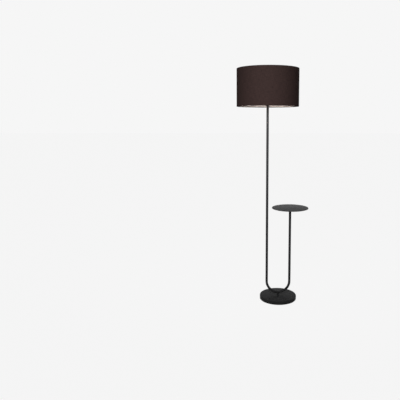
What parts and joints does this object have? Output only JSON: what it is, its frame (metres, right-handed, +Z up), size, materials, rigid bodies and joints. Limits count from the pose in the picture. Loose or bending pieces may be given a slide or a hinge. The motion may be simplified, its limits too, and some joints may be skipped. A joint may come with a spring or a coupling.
{
  "type": "floor lamp with table",
  "caption": "Floor lamp on a bent tube frame: round base, side leg with a small round table, pole with a cloth drum shade.",
  "frame": {"origin": "on the floor, under the centre of the round base", "axes": "+Z up, +X from the base's centre towards the table leg, +Y towards the rear, where the cord inlet is"},
  "size_m": [0.472, 0.4004, 1.52],
  "materials": {
    "black_coat": "satin powder coat",
    "cast_iron": "as cast, primed",
    "foam_pad": "closed-cell foam",
    "bush_rubber": "matt",
    "block_plastic": "natural",
    "zinc_steel": "zinc plated",
    "lead_sheath": "smooth",
    "holder_plastic": "moulded",
    "core_ceramic": "unglazed",
    "brass": "plain",
    "cap_nickel": "nickel plated",
    "bulb_glass_black": "glass",
    "bulb_white": "smooth",
    "bulb_opal": "opal",
    "shade_cloth": "fine plain weave, black brown",
    "shade_lining": "warm white film",
    "wire_white": "white enamel"
  },
  "bodies": {
    "stand": {"base_pad": "foam_pad", "base_weight": "cast_iron", "base_cover": "black_coat", "cord_gland": "bush_rubber", "terminal_block": "block_plastic", "terminal_screws": "brass", "block_screw": "zinc_steel", "stem_washer": "zinc_steel", "stem_nut": "zinc_steel", "stem_nipple": "zinc_steel", "nipple_bush": "block_plastic", "stem": "black_coat", "u_tube": "black_coat", "lower_joint_socket": "zinc_steel", "lower_joint_stud": "zinc_steel", "lower_pole": "black_coat", "upper_joint_socket": "zinc_steel", "upper_joint_stud": "zinc_steel", "upper_pole": "black_coat", "pole_top_insert": "zinc_steel", "inner_lead": "lead_sheath", "table_leg_insert": "zinc_steel", "table_stud": "zinc_steel", "table_flange": "black_coat", "table_top": "black_coat", "holder_washer": "zinc_steel", "holder_nipple": "zinc_steel", "holder_lock_nut": "zinc_steel", "holder_cap": "holder_plastic", "holder_insulator": "core_ceramic", "holder_terminal_screws": "brass", "centre_contact": "brass", "screw_shell": "brass", "holder_body": "holder_plastic", "shade_ring_lower": "holder_plastic", "shade_ring_upper": "holder_plastic"},
    "bulb": {"bulb_tip": "brass", "bulb_insulator": "bulb_glass_black", "bulb_cap": "cap_nickel", "bulb_housing": "bulb_white", "bulb_globe": "bulb_opal"},
    "shade": {"shade_fabric": "shade_cloth", "shade_liner": "shade_lining", "shade_top_ring": "wire_white", "shade_spider": "wire_white", "shade_seam": "shade_cloth"}
  },
  "joints": [
    {"name": "shade_turn", "type": "hinge", "parent": "stand", "child": "shade", "pos_m": [-0.076, 0, 1.328], "axis": [0, 0, 1], "continuous": true},
    {"name": "bulb_screw", "type": "hinge", "parent": "stand", "child": "bulb", "pos_m": [-0.076, 0, 1.34], "axis": [0, 0, 1], "range_deg": [0, 1260]}
  ]
}
